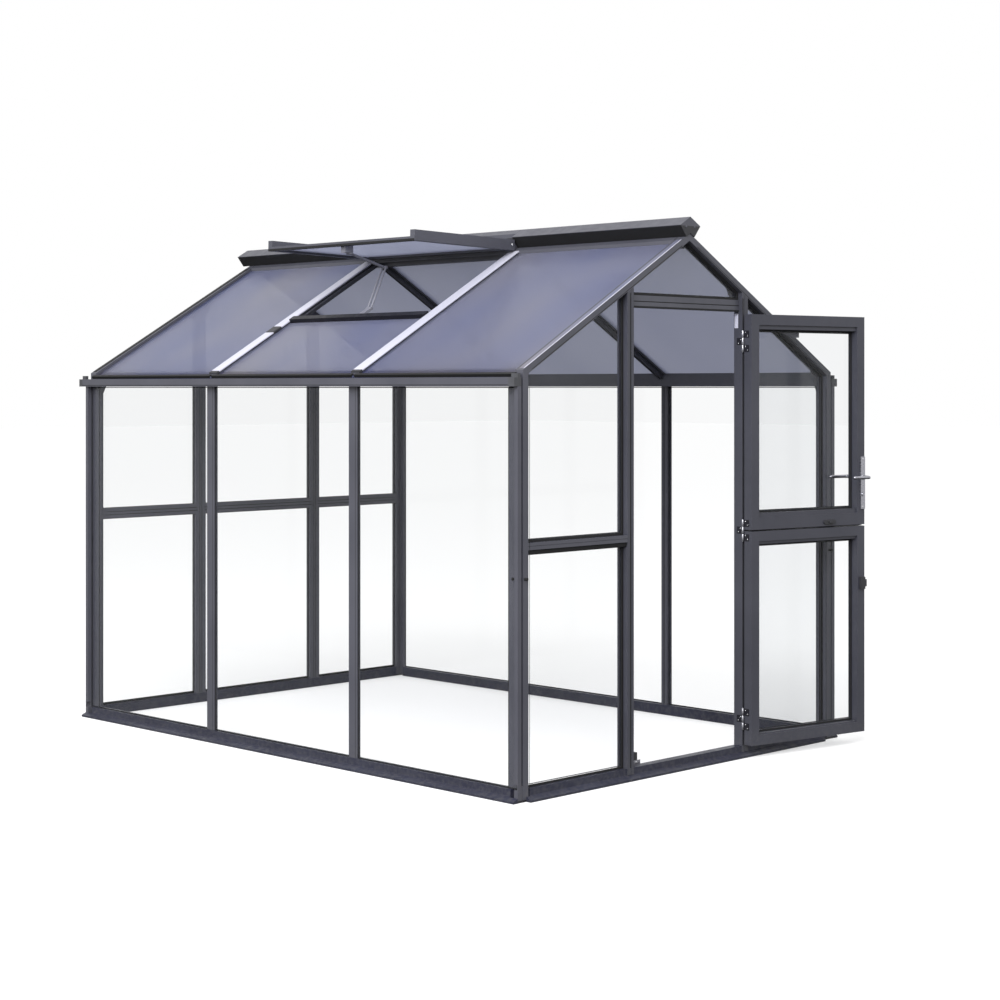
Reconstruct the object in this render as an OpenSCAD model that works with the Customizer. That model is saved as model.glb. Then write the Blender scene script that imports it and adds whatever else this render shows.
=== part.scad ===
// Aluminium greenhouse with clear glass walls, smoke-tinted roof sheets,
// a two-part hinged door in one gable and one raised roof vent.
// Millimetres, +Z up. The origin is on the ground under the middle of the
// door gable's face; +Y runs into the building and the door swings out to -Y.

/* [Building] */
// Width over the two gable posts
frame_w = 1880; // [1600:10:2300]
// Distance from one side post to the next
bay_l = 920; // [760:10:1110]
// Height of the roof's outer face at the gable post
eave_h = 1564; // [1300:10:1880]
// Pitch of both roof slopes, in degrees
pitch = 30; // [22:1:35]

/* [Gable frame] */
// Depth of the gable frame, front to back
frame_d = 43; // [36:1:52]
// Thickness of the inner lip that the glass is bedded on
lip_t = 15; // [8:1:18]
// Width of that lip beyond the bar's face
lip_w = 11; // [8:1:14]
// Face width of a corner post's gable leg
corner_face = 27; // [22:1:33]
// Face width of a door jamb and of a back post
jamb_w = 36; // [30:1:44]
// Face width of a mid rail and of a gable rafter
rail_face = 26; // [20:1:32]
// Height of the mid rails' centre line
rail_z = 922; // [750:1:1100]
// Width of the decorative groove in the bars' faces
groove_w = 3; // [2:0.5:4]
// Depth of that groove
groove_d = 1.5; // [0.5:0.5:3]

/* [Side walls] */
// How far a side wall's face stands outside the gable frame
wall_out = 28; // [22:1:34]
// How far the side glass stands back from the corner posts' face
glass_in = 20; // [16:1:23]
// Face width of a side post
post_w = 50; // [42:1:60]
// How far a side post's face stands out from the glass
post_out = 6; // [4:1:12]
// Width of a side post inside the glass
post_in_w = 32; // [26:1:38]
// Depth of the posts inside the glass
post_lip_t = 15; // [8:1:18]

/* [Base] */
// Height of the base rails
sill_h = 45; // [38:1:54]
// Height at which the rail's face turns out into its drip slope
sill_ledge = 20; // [16:1:26]
// How far the rail's drip lip stands out
sill_lip = 22; // [16:1:27]
// Height of the drip lip's edge
lip_h = 8; // [6:1:10]
// Height of the black feet under the corner posts
foot_h = 8; // [6:1:12]

/* [Door] */
// Clear width between the door jambs
door_w = 668; // [560:1:780]
// Height of the header's underside
header_z = 1806; // [1600:1:1850]
// Height of the header
header_h = 48; // [40:1:56]
// How far the header's face stands back from the frame's face
header_in = 19; // [12:1:22]
// Height at which the door is split into two leaves
split_z = 920; // [780:1:1080]
// Thickness of a door leaf
leaf_t = 44; // [36:1:50]
// Face width of the leaves' stiles
stile_w = 41; // [34:1:48]
// Gap between the leaf and the jamb on the hinge side
hinge_gap = 8; // [7:0.5:10]
// Width of the closing strip on the latch side
keep_w = 16; // [10:1:19]
// Clearance above, below and between the leaves
leaf_gap = 6; // [5.5:0.5:8]
// Gap between the leaf and the closing strip
latch_gap = 8; // [7:0.5:10]
// Angle at which the leaves stand open, in degrees
swing = 170; // [0:1:170]

/* [Roof] */
// Height of the bar caps above the roof sheets
cap_h = 12; // [8:1:15]
// Thickness of the roof sheets
sheet_t = 6; // [4:1:8]
// Width of the bar caps
cap_w = 56; // [50:1:66]
// Width of the gutter beyond the side wall's face
gutter_out = 18; // [12:1:24]
// Height of the gutter
gutter_h = 33; // [26:1:40]
// Half width of the ridge cap
ridge_half = 61; // [50:1:70]
// Height of the ridge cap's peak above the roof's ridge line
ridge_rise = 65; // [58:1:76]
// How far the ridge cap runs past the back gable
ridge_over = 50; // [20:1:60]

/* [Vent] */
// Length of the vent sash, from its hinge edge to its free edge
sash_l = 577; // [480:1:640]
// Depth of the sash's frame
sash_t = 45; // [36:1:52]
// Angle of the raised sash above the horizontal, in degrees
sash_lift = 1.3; // [0:0.1:8]

/* [Glazing] */
// Thickness of the wall and door glass
glass_t = 4; // [3:1:6]
// Clearance at the edges of each pane
pane_gap = 2; // [1:0.5:3]

/* [Hidden] */
$fn = 48;

// Colours
anthracite = [0.30, 0.31, 0.35];
black = [0.06, 0.06, 0.07];
cap_grey = [0.22, 0.22, 0.25];
silver = [0.78, 0.78, 0.80];
clear_glass = [0.85, 0.92, 0.92, 0.3];
smoke = [0.45, 0.47, 0.58, 0.6];

// Building
bays = 3;
vent_bay = 1;
build_l = bays * bay_l;
half_w = frame_w / 2;
side_x = half_w + wall_out;
tall = 4000;

// Gable frame
bed_y = frame_d - lip_t;
jamb_x = door_w / 2;
rise = tan(pitch);
lean = 1 / cos(pitch);
// Clearance where a flat part is seated under a sloping one
seat = 0.02;
ridge_z = eave_h + half_w * rise;
leg_back = corner_face + lip_w;

// Side walls
glass_x = side_x - glass_in;
bed_x = glass_x - glass_t;
corner_groove = 9;
corner_groove_d = 12;
corner_cap_l = 18;
corner_strip_t = 3;
cap_foot_z = 66;
cap_foot_cut = 17;
plug_z = 58;
post_web = 16;
corner_lip = 26;

// Base
sill_in = 4;
sill_in_side = 6;
rail_d = 46;
lip_start = 17;
lip_end_right = 67;

// Eaves
gutter_top_drop = 28;
gutter_z = eave_h - gutter_top_drop - gutter_h;
gutter_x = side_x + gutter_out;
gutter_wall = 3;
gutter_cap_l = 33;
gutter_over = 25;
gutter_cap_up = 15;
beam_x = glass_x - 2;
beam_w = 40;
beam_in = beam_x - beam_w;

// Roof
slope_l = half_w * lean;
sheet_n = -cap_h - sheet_t;
bar_flange = 52;
bar_flange_t = 6;
bar_web = 20;
bar_depth = 24;
tongue_w = 6;
bar_slot = 7;
bar_slot_d = 6;
bar_head = 48;
strip_t = 5;
drip = 6;
cover_w = 12;
ridge_beam_w = 40;
ridge_beam_h = 58;
ridge_shoulder = 50;
ridge_foot = 25;
ridge_front_over = 4;
ridge_cap_bore = 0.9;
end_plate = 3;

// Vent
vent_y0 = vent_bay * bay_l;
vent_y1 = (vent_bay + 1) * bay_l;
vent_mid = (vent_y0 + vent_y1) / 2;
sash_over = 10;
rail_end_gap = 6;
sash_rail = 26;
sash_lip = 18;
sash_sheet_up = 10;
sash_hinge_x = 57.5;
sash_hinge_up = 18;
hinge_rail_x = 25;
sill_slope_gap = 12;
sill_slope_w = 30;
sill_slope_up = 7;
sill_slope_web = 15;
sill_slope_down = 18;

// Door
leaf_x1 = jamb_x - hinge_gap;
leaf_x0 = -jamb_x + keep_w + latch_gap;
leaf_w = leaf_x1 - leaf_x0;
keep_in = 20;
lower_z0 = sill_h + leaf_gap;
lower_z1 = split_z - leaf_gap / 2;
upper_z0 = split_z + leaf_gap / 2;
header_clear = 11;
upper_z1 = header_z - header_clear;
bead_in = 8;
leaf_lip_t = 3;
leaf_lip_w = 8;
upper_top_rail = 43;
upper_bottom_rail = 50;
lower_rail = 41;
upper_bead = 17;
lower_top_bead = 12;
lower_bottom_bead = 6;

// Hinges
pin_x = jamb_x - hinge_gap / 2;
pin_y = -5;
pin_r = 2.5;
pin_fit = 0.05;
pin_head = 3;
knuckle_r = 4.5;
knuckle_l = 29;
knuckle_gap = 0.5;
plate_t = 1.5;
plate_reach = 28;
hinge_low_z = 155;
hinge_top_drop = 109;

// Door handle and latches
handle_z = 1122;
handle_in = 14;
plate_w = 25;
plate_h = 220;
plate_drop = 24;
plate_thick = 6;
spindle_r = 4;
spindle_bore = 6;
neck_r = 8;
neck_l = 50;
grip_r = 7.5;
grip_l = 90;
seat_gap = 0.5;
bolt_l = 67;
bolt_w = 19;
bolt_t = 6;
bolt_reach = 432;
bolt_z = 940;
latch_z = 677;
latch_h = 52;
latch_w = 22;
latch_t = 14;
nose_l = 8;
nose_h = 30;

// Height of the roof's outer face at a distance x from the middle
function roof_z(x) = ridge_z - abs(x) * rise;
// Height of a plane that lies n below the roof's outer face
function under_z(x, n) = roof_z(x) - n * lean;

// A bar along Y whose outline is given in X and Z
module y_bar(pts, y0, y1) {
    translate([0, y1, 0]) rotate([90, 0, 0]) linear_extrude(y1 - y0) polygon(pts);
}

// A bar along X whose outline is given in Y and Z
module x_bar(pts, x0, x1) {
    translate([x0, 0, 0]) rotate([90, 0, 90]) linear_extrude(x1 - x0) polygon(pts);
}

// A box from its lowest to its highest corner
module block(low, high) {
    translate(low) cube(high - low);
}

module mirrored_x() {
    children();
    mirror([1, 0, 0]) children();
}

// Puts a piece of the door gable on the back gable
module at_back() {
    translate([0, build_l, 0]) mirror([0, 1, 0]) children();
}

// The left slope's own frame: X up the slope, Y along the building,
// Z out of the roof, with its origin at the eave
module on_slope() {
    translate([-half_w, 0, eave_h]) rotate([0, -pitch, 0]) children();
}

// Keeps what lies between two distances from the middle, on the left
module between_x(far, near) {
    intersection() {
        children();
        block([-far, -tall, 0], [-near, tall, tall]);
    }
}

// ---- Base ----

function sill_pts(face, back, out) = [
    [-out, 0], [-out, lip_h], [face, sill_ledge], [face, sill_h], [back, sill_h], [back, 0]
];

module gable_sill(right_end) {
    inner = half_w - leg_back;
    x_bar([[0, 0], [0, sill_ledge - 2], [sill_in, sill_ledge], [sill_in, sill_h],
           [frame_d, sill_h], [frame_d, 0]], -inner, inner);
    difference() {
        x_bar(sill_pts(sill_in, frame_d, sill_lip), -half_w + lip_start, half_w - right_end);
        block([-tall, 0, -1], [tall, tall, tall]);
    }
}

module base_rail_front() {
    color(anthracite) gable_sill(lip_end_right);
}

module base_rail_back() {
    color(anthracite) at_back() gable_sill(lip_start);
}

module side_sill() {
    face = side_x - sill_in_side;
    difference() {
        y_bar([[-side_x - sill_lip, 0], [-side_x - sill_lip, lip_h], [-face, sill_ledge],
               [-face, sill_h], [-side_x + rail_d, sill_h], [-side_x + rail_d, 0]],
              0, build_l);
        block([-side_x, -1, -1], [-half_w + tall, frame_d, tall]);
        block([-side_x, build_l - frame_d, -1], [-half_w + tall, build_l + 1, tall]);
        for (y = [0, build_l]) translate([0, y, 0])
            block([-bed_x, -frame_d - corner_lip, -1], [-half_w + tall, frame_d + corner_lip, tall]);
    }
}

module base_rail_left() {
    color(anthracite) side_sill();
}

module base_rail_right() {
    color(anthracite) mirror([1, 0, 0]) side_sill();
}

// ---- Wall frame ----

// Plan of the front left corner post, with u inwards from the gable
// frame's edge and v backwards from its face
corner_plan = [
    [-wall_out, 0], [-corner_groove, 0], [-corner_groove, corner_groove_d],
    [0, corner_groove_d], [0, 0], [corner_face, 0], [corner_face, bed_y],
    [leg_back, bed_y], [leg_back, frame_d], [half_w - bed_x + post_lip_t, frame_d],
    [half_w - bed_x + post_lip_t, frame_d + corner_lip],
    [half_w - bed_x, frame_d + corner_lip],
    [half_w - bed_x, corner_cap_l], [-wall_out, corner_cap_l]
];

module corner_post() {
    translate([-half_w, 0, 0]) {
        difference() {
            translate([0, 0, foot_h]) linear_extrude(gutter_z - foot_h) polygon(corner_plan);
            block([-wall_out - 1, corner_strip_t, sill_h],
                  [cap_foot_cut - wall_out, corner_cap_l + 1, cap_foot_z]);
        }
        block([-corner_groove, groove_d, foot_h], [0, corner_groove_d, plug_z]);
    }
    y_bar([[-half_w, gutter_z], [corner_face - half_w, gutter_z],
           [corner_face - half_w, under_z(half_w - corner_face, rail_face + seat)],
           [-half_w, under_z(half_w, rail_face + seat)]], 0, bed_y);
    y_bar([[-half_w, gutter_z], [leg_back - half_w, gutter_z],
           [leg_back - half_w, under_z(half_w - leg_back, rail_face + lip_w + seat)],
           [-half_w, under_z(half_w, rail_face + lip_w + seat)]], bed_y, frame_d);
}

module corner_posts() {
    color(anthracite) mirrored_x() {
        corner_post();
        at_back() corner_post();
    }
}

module corner_feet() {
    inset = 2;
    color(black) mirrored_x() for (side = [0, 1]) translate([0, side * build_l, 0])
        mirror([0, side, 0])
            block([-side_x + inset, inset, 0], [leg_back - half_w - inset, frame_d - inset, foot_h]);
}

module side_post(y) {
    half = post_w / 2;
    web = post_web / 2;
    inner = post_in_w / 2;
    translate([-glass_x, y, 0]) {
        block([-post_out, -half, sill_h], [0, half, gutter_z]);
        block([0, -web, sill_h], [glass_t, web, gutter_z]);
        block([glass_t, -inner, sill_h], [glass_t + post_lip_t, inner, gutter_z]);
    }
}

module side_posts() {
    color(anthracite) mirrored_x() for (i = [1 : bays - 1]) side_post(i * bay_l);
}

// Outline of an upright between two distances from the middle, cut off
// under a rafter that is n deep
function upright_pts(near, far, z0, n) = [
    [-far, z0], [-near, z0], [-near, under_z(near, n + seat)], [-far, under_z(far, n + seat)]
];

module upright_groove() {
    x = jamb_x + jamb_w * 0.42;
    block([-x - groove_w / 2, -1, 0], [groove_w / 2 - x, groove_d, tall]);
}

module jamb() {
    difference() {
        union() {
            y_bar(upright_pts(jamb_x, jamb_x + jamb_w, sill_h, rail_face), 0, bed_y);
            block([-jamb_x - jamb_w, 0, sill_ledge], [-jamb_x, sill_in, sill_h]);
        }
        upright_groove();
    }
    y_bar(upright_pts(jamb_x, jamb_x + jamb_w + lip_w, sill_h, rail_face + lip_w),
          bed_y, frame_d);
}

module door_jamb_left() {
    color(anthracite) {
        jamb();
        block([-jamb_x, keep_in, sill_h], [keep_w - jamb_x, frame_d, header_z]);
    }
}

module door_jamb_right() {
    color(anthracite) mirror([1, 0, 0]) jamb();
}

module door_header() {
    mid = header_z + header_h / 2;
    color(anthracite) difference() {
        block([-jamb_x, header_in, header_z], [jamb_x, frame_d, header_z + header_h]);
        block([-jamb_x - 1, header_in - 1, mid - groove_w / 2],
              [jamb_x + 1, header_in + groove_d, mid + groove_w / 2]);
    }
}

module back_posts() {
    color(anthracite) at_back() mirrored_x() {
        jamb();
        y_bar(upright_pts(jamb_x - lip_w, jamb_x, sill_h, rail_face + lip_w), bed_y, frame_d);
    }
}

module mid_rail(x0, x1) {
    low = rail_z - rail_face / 2;
    high = rail_z + rail_face / 2;
    difference() {
        block([x0, 0, low], [x1, bed_y, high]);
        block([x0 - 1, -1, rail_z - groove_w / 2], [x1 + 1, groove_d, rail_z + groove_w / 2]);
    }
    block([x0 + lip_w, bed_y, low - lip_w], [x1 - lip_w, frame_d, high + lip_w]);
}

module front_mid_rails() {
    color(anthracite) mirrored_x() mid_rail(corner_face - half_w, -jamb_x - jamb_w);
}

module back_mid_rails() {
    color(anthracite) at_back() {
        mirrored_x() mid_rail(corner_face - half_w, -jamb_x - jamb_w);
        mid_rail(-jamb_x, jamb_x);
    }
}

// Outline of a gable rafter in Y and the roof's normal: the face, the
// lip for the gable glass, the bed and the cover for the roof sheet
rafter_pts = [
    [0, 0], [0, -rail_face], [bed_y, -rail_face], [bed_y, -rail_face - lip_w],
    [frame_d, -rail_face - lip_w], [frame_d, sheet_n], [bed_y, sheet_n], [bed_y, -cap_h],
    [bed_y + cover_w, -cap_h], [bed_y + cover_w, 0]
];

module rafter() {
    between_x(half_w, 0) on_slope() x_bar(rafter_pts, -frame_d, slope_l + frame_d);
}

module front_rafters() {
    color(anthracite) mirrored_x() rafter();
}

module back_rafters() {
    color(anthracite) at_back() mirrored_x() rafter();
}

// Plates behind the frame that tie the uprights to the rafters
module gusset(x, down) {
    plate = 4;
    arm = 48;
    n = rail_face;
    y_bar([[-x - 16, roof_z(x) - down], [-x, roof_z(x) - down], [-x + arm, under_z(x - arm, n + 10)],
           [-x + arm, under_z(x - arm, n)], [-x - 16, under_z(x + 16, n)]],
          frame_d, frame_d + plate);
}

module gable_gussets() {
    mirrored_x() {
        gusset(half_w - leg_back + 2, 112);
        gusset(jamb_x + 2, 96);
    }
}

module corner_gussets() {
    color(anthracite) {
        gable_gussets();
        at_back() gable_gussets();
    }
}

// ---- Eaves and roof ----

module eave_gutter() {
    wall = gutter_wall;
    y_bar([[-gutter_x, gutter_z], [-beam_x, gutter_z], [-beam_x, gutter_z + gutter_h],
           [-beam_x - wall, gutter_z + gutter_h], [-beam_x - wall, gutter_z + wall],
           [-gutter_x + wall, gutter_z + wall], [-gutter_x + wall, gutter_z + gutter_h - wall],
           [-gutter_x + 2 * wall, gutter_z + gutter_h - wall],
           [-gutter_x + 2 * wall, gutter_z + gutter_h], [-gutter_x, gutter_z + gutter_h]],
          gutter_cap_l, build_l);
    y_bar([[-beam_x, gutter_z], [-beam_in, gutter_z], [-beam_in, under_z(beam_in, seat - sheet_n)],
           [-beam_x, under_z(beam_x, seat - sheet_n)]], frame_d + 4, build_l - frame_d - 4);
}

module eave_gutter_left() {
    color(anthracite) eave_gutter();
}

module eave_gutter_right() {
    color(anthracite) mirror([1, 0, 0]) eave_gutter();
}

module gutter_end_caps() {
    inner = half_w + corner_groove;
    color(cap_grey) mirrored_x() for (ends = [[0, gutter_cap_l], [build_l, build_l + gutter_over]]) {
        block([-gutter_x, ends[0], gutter_z], [-inner, ends[1], gutter_z + gutter_h]);
        block([-side_x, ends[0], gutter_z + gutter_h],
              [-beam_x - drip - pane_gap, ends[1], gutter_z + gutter_h + gutter_cap_up]);
    }
}

module ridge_beam() {
    half = ridge_beam_w / 2;
    shoulder = ridge_shoulder;
    color(anthracite) y_bar([
        [0, ridge_z], [shoulder, roof_z(shoulder)],
        [shoulder, under_z(shoulder, cap_h)], [half, under_z(half, cap_h)],
        [half, ridge_z - ridge_beam_h], [-half, ridge_z - ridge_beam_h],
        [-half, under_z(half, cap_h)], [-shoulder, under_z(shoulder, cap_h)],
        [-shoulder, roof_z(shoulder)]
    ], frame_d, build_l - frame_d);
}

ridge_peak = ridge_z + ridge_rise;
cap_corner = [ridge_half, ridge_peak - ridge_half * rise];
cap_foot = [ridge_foot, roof_z(ridge_foot)];
cap_middle = [0, (ridge_z + ridge_peak) / 2];
cap_outline = [
    [0, ridge_z], cap_foot, cap_corner, [0, ridge_peak],
    [-cap_corner[0], cap_corner[1]], [-cap_foot[0], cap_foot[1]]
];

// A folded length of ridge cap, closed by a plate at its outer end
module ridge_cap_length(y0, y1, closed0, closed1) {
    difference() {
        y_bar(cap_outline, y0, y1);
        y_bar([for (p = cap_outline) cap_middle + (p - cap_middle) * ridge_cap_bore],
              y0 + (closed0 ? end_plate : -1), y1 - (closed1 ? end_plate : -1));
    }
}

module ridge_cap() {
    edge = hinge_rail_x + 9;
    color(anthracite) {
        ridge_cap_length(-ridge_front_over, vent_y0 + rail_end_gap - 2, true, false);
        ridge_cap_length(vent_y1 - rail_end_gap + 2, build_l + ridge_over, false, true);
        y_bar([[0, ridge_z], cap_foot, cap_corner, [0, ridge_peak],
               [-edge, ridge_peak - edge * rise], [-edge, hinge_rail_z],
               [-hinge_rail_x, hinge_rail_z], [-hinge_rail_x, roof_z(hinge_rail_x)]],
              vent_y0 + rail_end_gap, vent_y1 - rail_end_gap);
    }
}

module roof_bar(y) {
    flange = bar_flange / 2;
    web = bar_web / 2;
    low = sheet_n - bar_flange_t;
    slot = bar_slot / 2;
    between_x(beam_in, ridge_beam_w / 2) on_slope() translate([0, y, 0]) x_bar([
        [-flange, sheet_n], [-flange, low], [-web, low], [-web, sheet_n - bar_depth],
        [-slot, sheet_n - bar_depth], [-slot, sheet_n - bar_depth + bar_slot_d],
        [slot, sheet_n - bar_depth + bar_slot_d], [slot, sheet_n - bar_depth],
        [web, sheet_n - bar_depth], [web, low], [flange, low], [flange, sheet_n]
    ], 0, slope_l);
    head = bar_head / 2;
    tongue = tongue_w / 2;
    between_x(half_w + 4, ridge_shoulder) on_slope() translate([0, y, 0]) x_bar([
        [-head, -strip_t], [-head, -cap_h], [-tongue, -cap_h], [-tongue, sheet_n],
        [tongue, sheet_n], [tongue, -cap_h], [head, -cap_h], [head, -strip_t]
    ], -drip * 4, slope_l);
}

module roof_bars() {
    color(anthracite) mirrored_x() for (i = [1 : bays - 1]) roof_bar(i * bay_l);
}

module bar_cap(y) {
    half = cap_w / 2;
    edge = strip_t / 2;
    between_x(half_w + 4, ridge_shoulder) on_slope() translate([0, y, 0]) x_bar([
        [-half, -strip_t], [-half, -edge], [edge - half, 0], [half - edge, 0], [half, -edge],
        [half, -strip_t]
    ], -drip * 4, slope_l);
}

module roof_bar_caps() {
    color(silver) mirrored_x() for (i = [1 : bays - 1]) bar_cap(i * bay_l);
}

function sheet_start(i) = i == 0 ? bed_y + pane_gap : i * bay_l + tongue_w / 2 + 1;
function sheet_end(i) = i == bays - 1 ? build_l - bed_y - pane_gap
                                      : (i + 1) * bay_l - tongue_w / 2 - 1;

module roof_sheet(i, top) {
    between_x(beam_x + drip, ridge_beam_w / 2 + pane_gap) on_slope()
        block([-tall, sheet_start(i), sheet_n], [top, sheet_end(i), -cap_h]);
}

module roof_sheets_left() {
    color(smoke) for (i = [0 : bays - 1])
        roof_sheet(i, i == vent_bay ? sill_s + sill_slope_web - pane_gap : tall);
}

module roof_sheets_right() {
    color(smoke) mirror([1, 0, 0]) for (i = [0 : bays - 1]) roof_sheet(i, tall);
}

// ---- Roof vent ----

hinge_rail_z = ridge_z - 8 + sash_hinge_up;
// Where the vent's sill starts, measured up the slope: the closed sash ends on it
sill_s = slope_l - sash_hinge_x * lean - sash_l + sill_slope_gap;

module vent_sill() {
    y0 = vent_y0 + cap_w / 2;
    y1 = vent_y1 - cap_w / 2;
    color(anthracite) on_slope() y_bar([
        [sill_s, -cap_h], [sill_s, sill_slope_up], [sill_s + sill_slope_w, sill_slope_up],
        [sill_s + sill_slope_w, sheet_n - sill_slope_down],
        [sill_s + sill_slope_web, sheet_n - sill_slope_down],
        [sill_s + sill_slope_web, -cap_h]
    ], y0, y1);
}

// World X and Z of a point given in the raised sash's frame
function sash_pt(x, z) = [
    -sash_hinge_x - x * cos(sash_lift) + z * sin(sash_lift),
    ridge_z + sash_hinge_up + x * sin(sash_lift) + z * cos(sash_lift)
];

// World X and Z of a point s up the left slope and n out of it
function slope_pt(s, n) = [
    -half_w + s * cos(pitch) - n * sin(pitch), eave_h + s * sin(pitch) + n * cos(pitch)
];

module vent_hinge_rail() {
    foot = sash_pt(0, roof_z(sash_hinge_x) - ridge_z - sash_hinge_up);
    color(anthracite) y_bar([
        [foot[0], roof_z(foot[0])], sash_pt(0, hinge_rail_z - ridge_z - sash_hinge_up),
        [-hinge_rail_x, hinge_rail_z], [-hinge_rail_x, roof_z(hinge_rail_x)]
    ], vent_y0 + rail_end_gap, vent_y1 - rail_end_gap);
}

// The sash's own frame: X from its hinge edge to its free edge, Z up from
// its upper face
module on_sash() {
    translate([-sash_hinge_x, 0, ridge_z + sash_hinge_up]) rotate([0, sash_lift, 0])
        mirror([1, 0, 0]) children();
}

module vent_sash() {
    y0 = vent_y0 - sash_over;
    y1 = vent_y1 + sash_over;
    color(anthracite) on_sash() difference() {
        block([0, y0, -sash_t], [sash_l, y1, 0]);
        block([sash_rail, y0 + sash_rail, -sash_t - 1], [sash_l - sash_rail, y1 - sash_rail, 1]);
        block([sash_l / 2, y0 + sash_rail, sash_lip - sash_t], [sash_l + 1, y1 - sash_rail, 1]);
    }
}

module vent_sheet() {
    y0 = vent_y0 - sash_over + sash_rail;
    y1 = vent_y1 + sash_over - sash_rail;
    low = sash_sheet_up - sash_t;
    color(smoke) on_sash()
        block([sash_rail, y0, low], [sash_l - sash_rail, y1, low + sheet_t]);
}

// A round rod between two points given in X and Z
module rod(a, b, y, r) {
    d = b - a;
    translate([a[0], y, a[1]]) rotate([0, 90 - atan2(d[1], d[0]), 0]) cylinder(h = norm(d), r = r);
}

module vent_opener() {
    half = 16;
    head_x = sash_l - sash_rail - 36;
    foot_s = sill_s + sill_slope_w + 64;
    head = sash_pt(head_x, -sash_t - 26);
    foot = slope_pt(foot_s, -4);
    knee = [head[0] + 196, head[1] - 52];
    color(anthracite) {
        rod(head, knee, vent_mid, 6);
        for (side = [-1, 1]) rod(knee, foot, vent_mid + side * 11, 4);
        for (p = [head, knee, foot])
            translate([p[0], vent_mid - half, p[1]]) rotate([-90, 0, 0]) cylinder(h = 2 * half, r = 7);
        on_sash() block([head_x - 8, vent_mid - half + 2, -sash_t - 26],
                        [sash_l - sash_rail, vent_mid + half - 2, sash_sheet_up - 1 - sash_t]);
        on_slope() block([sill_s + sill_slope_w, vent_mid - half + 2, -12],
                         [foot_s + 4, vent_mid + half - 2, 0]);
    }
}

// ---- Glazing ----

module side_glass() {
    for (i = [0 : bays - 1]) {
        y0 = i == 0 ? corner_cap_l + pane_gap : i * bay_l + post_web / 2 + pane_gap;
        y1 = i == bays - 1 ? build_l - corner_cap_l - pane_gap
                           : (i + 1) * bay_l - post_web / 2 - pane_gap;
        block([-glass_x, y0, sill_h], [-bed_x, y1, gutter_z - pane_gap]);
    }
}

module glass_left() {
    color(clear_glass) side_glass();
}

module glass_right() {
    color(clear_glass) mirror([1, 0, 0]) side_glass();
}

// Height of the upper edge of gable glass at a distance x from the middle
function pane_z(x) = under_z(x, rail_face + pane_gap);

module gable_pane(pts) {
    y_bar(pts, bed_y - glass_t, bed_y);
}

module side_bay_panes() {
    far = half_w - corner_face - pane_gap;
    near = jamb_x + jamb_w + pane_gap;
    low = rail_z - rail_face / 2 - pane_gap;
    high = rail_z + rail_face / 2 + pane_gap;
    gable_pane([[-far, sill_h], [-near, sill_h], [-near, low], [-far, low]]);
    gable_pane([[-far, high], [-near, high], [-near, pane_z(near)], [-far, pane_z(far)]]);
}

module middle_pane(z0) {
    x = jamb_x - pane_gap;
    gable_pane([[-x, z0], [x, z0], [x, pane_z(x)], [0, pane_z(0)], [-x, pane_z(x)]]);
}

module glass_front() {
    color(clear_glass) {
        mirrored_x() side_bay_panes();
        middle_pane(header_z + header_h);
    }
}

module glass_back() {
    x = jamb_x - pane_gap;
    color(clear_glass) at_back() {
        mirrored_x() side_bay_panes();
        gable_pane([[-x, sill_h], [x, sill_h], [x, rail_z - rail_face / 2 - pane_gap],
                    [-x, rail_z - rail_face / 2 - pane_gap]]);
        middle_pane(rail_z + rail_face / 2 + pane_gap);
    }
}

// ---- Door ----

// Turns a piece drawn on the closed door to where the open leaf stands
module on_leaf() {
    translate([pin_x, pin_y, 0]) rotate([0, 0, swing]) translate([-pin_x, -pin_y, 0])
        children();
}

// A leaf's frame: stiles and rails, the glazing beads set back from the
// inner face, and the lip at the outer face that the glass lies on
module leaf_frame(z0, z1, low, low_bead, top, top_bead) {
    x0 = leaf_x0 + stile_w;
    x1 = leaf_x1 - stile_w;
    a = z0 + low;
    b = z1 - top;
    difference() {
        block([leaf_x0, 0, z0], [leaf_x1, leaf_t, z1]);
        block([x0, leaf_t - bead_in, a], [x1, leaf_t + 1, b]);
        block([x0, leaf_lip_t, a + low_bead], [x1, leaf_t + 1, b - top_bead]);
        block([x0 + leaf_lip_w, -1, a + low_bead + leaf_lip_w],
              [x1 - leaf_lip_w, leaf_t, b - top_bead - leaf_lip_w]);
        children();
    }
}

module leaf_glass(z0, z1) {
    gap = 1;
    block([leaf_x0 + stile_w + gap, leaf_lip_t, z0 + gap],
          [leaf_x1 - stile_w - gap, leaf_lip_t + glass_t, z1 - gap]);
}

handle_x = leaf_x0 + handle_in;

module spindle_hole(r) {
    translate([handle_x, leaf_t + tall / 2, handle_z]) rotate([90, 0, 0])
        cylinder(h = tall, r = r);
}

module upper_leaf_frame() {
    color(anthracite) on_leaf()
        leaf_frame(upper_z0, upper_z1, upper_bottom_rail, upper_bead, upper_top_rail, upper_bead)
            spindle_hole(spindle_bore);
}

module upper_leaf_glass() {
    color(clear_glass) on_leaf() leaf_glass(upper_z0 + upper_bottom_rail + upper_bead,
                                            upper_z1 - upper_top_rail - upper_bead);
}

module lower_leaf_frame() {
    color(anthracite) on_leaf()
        leaf_frame(lower_z0, lower_z1, lower_rail, lower_bottom_bead, lower_rail,
                   lower_top_bead);
}

module lower_leaf_glass() {
    color(clear_glass) on_leaf() leaf_glass(lower_z0 + lower_rail + lower_bottom_bead,
                                            lower_z1 - lower_rail - lower_top_bead);
}

hinge_top_z = upper_z1 - hinge_top_drop;

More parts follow.
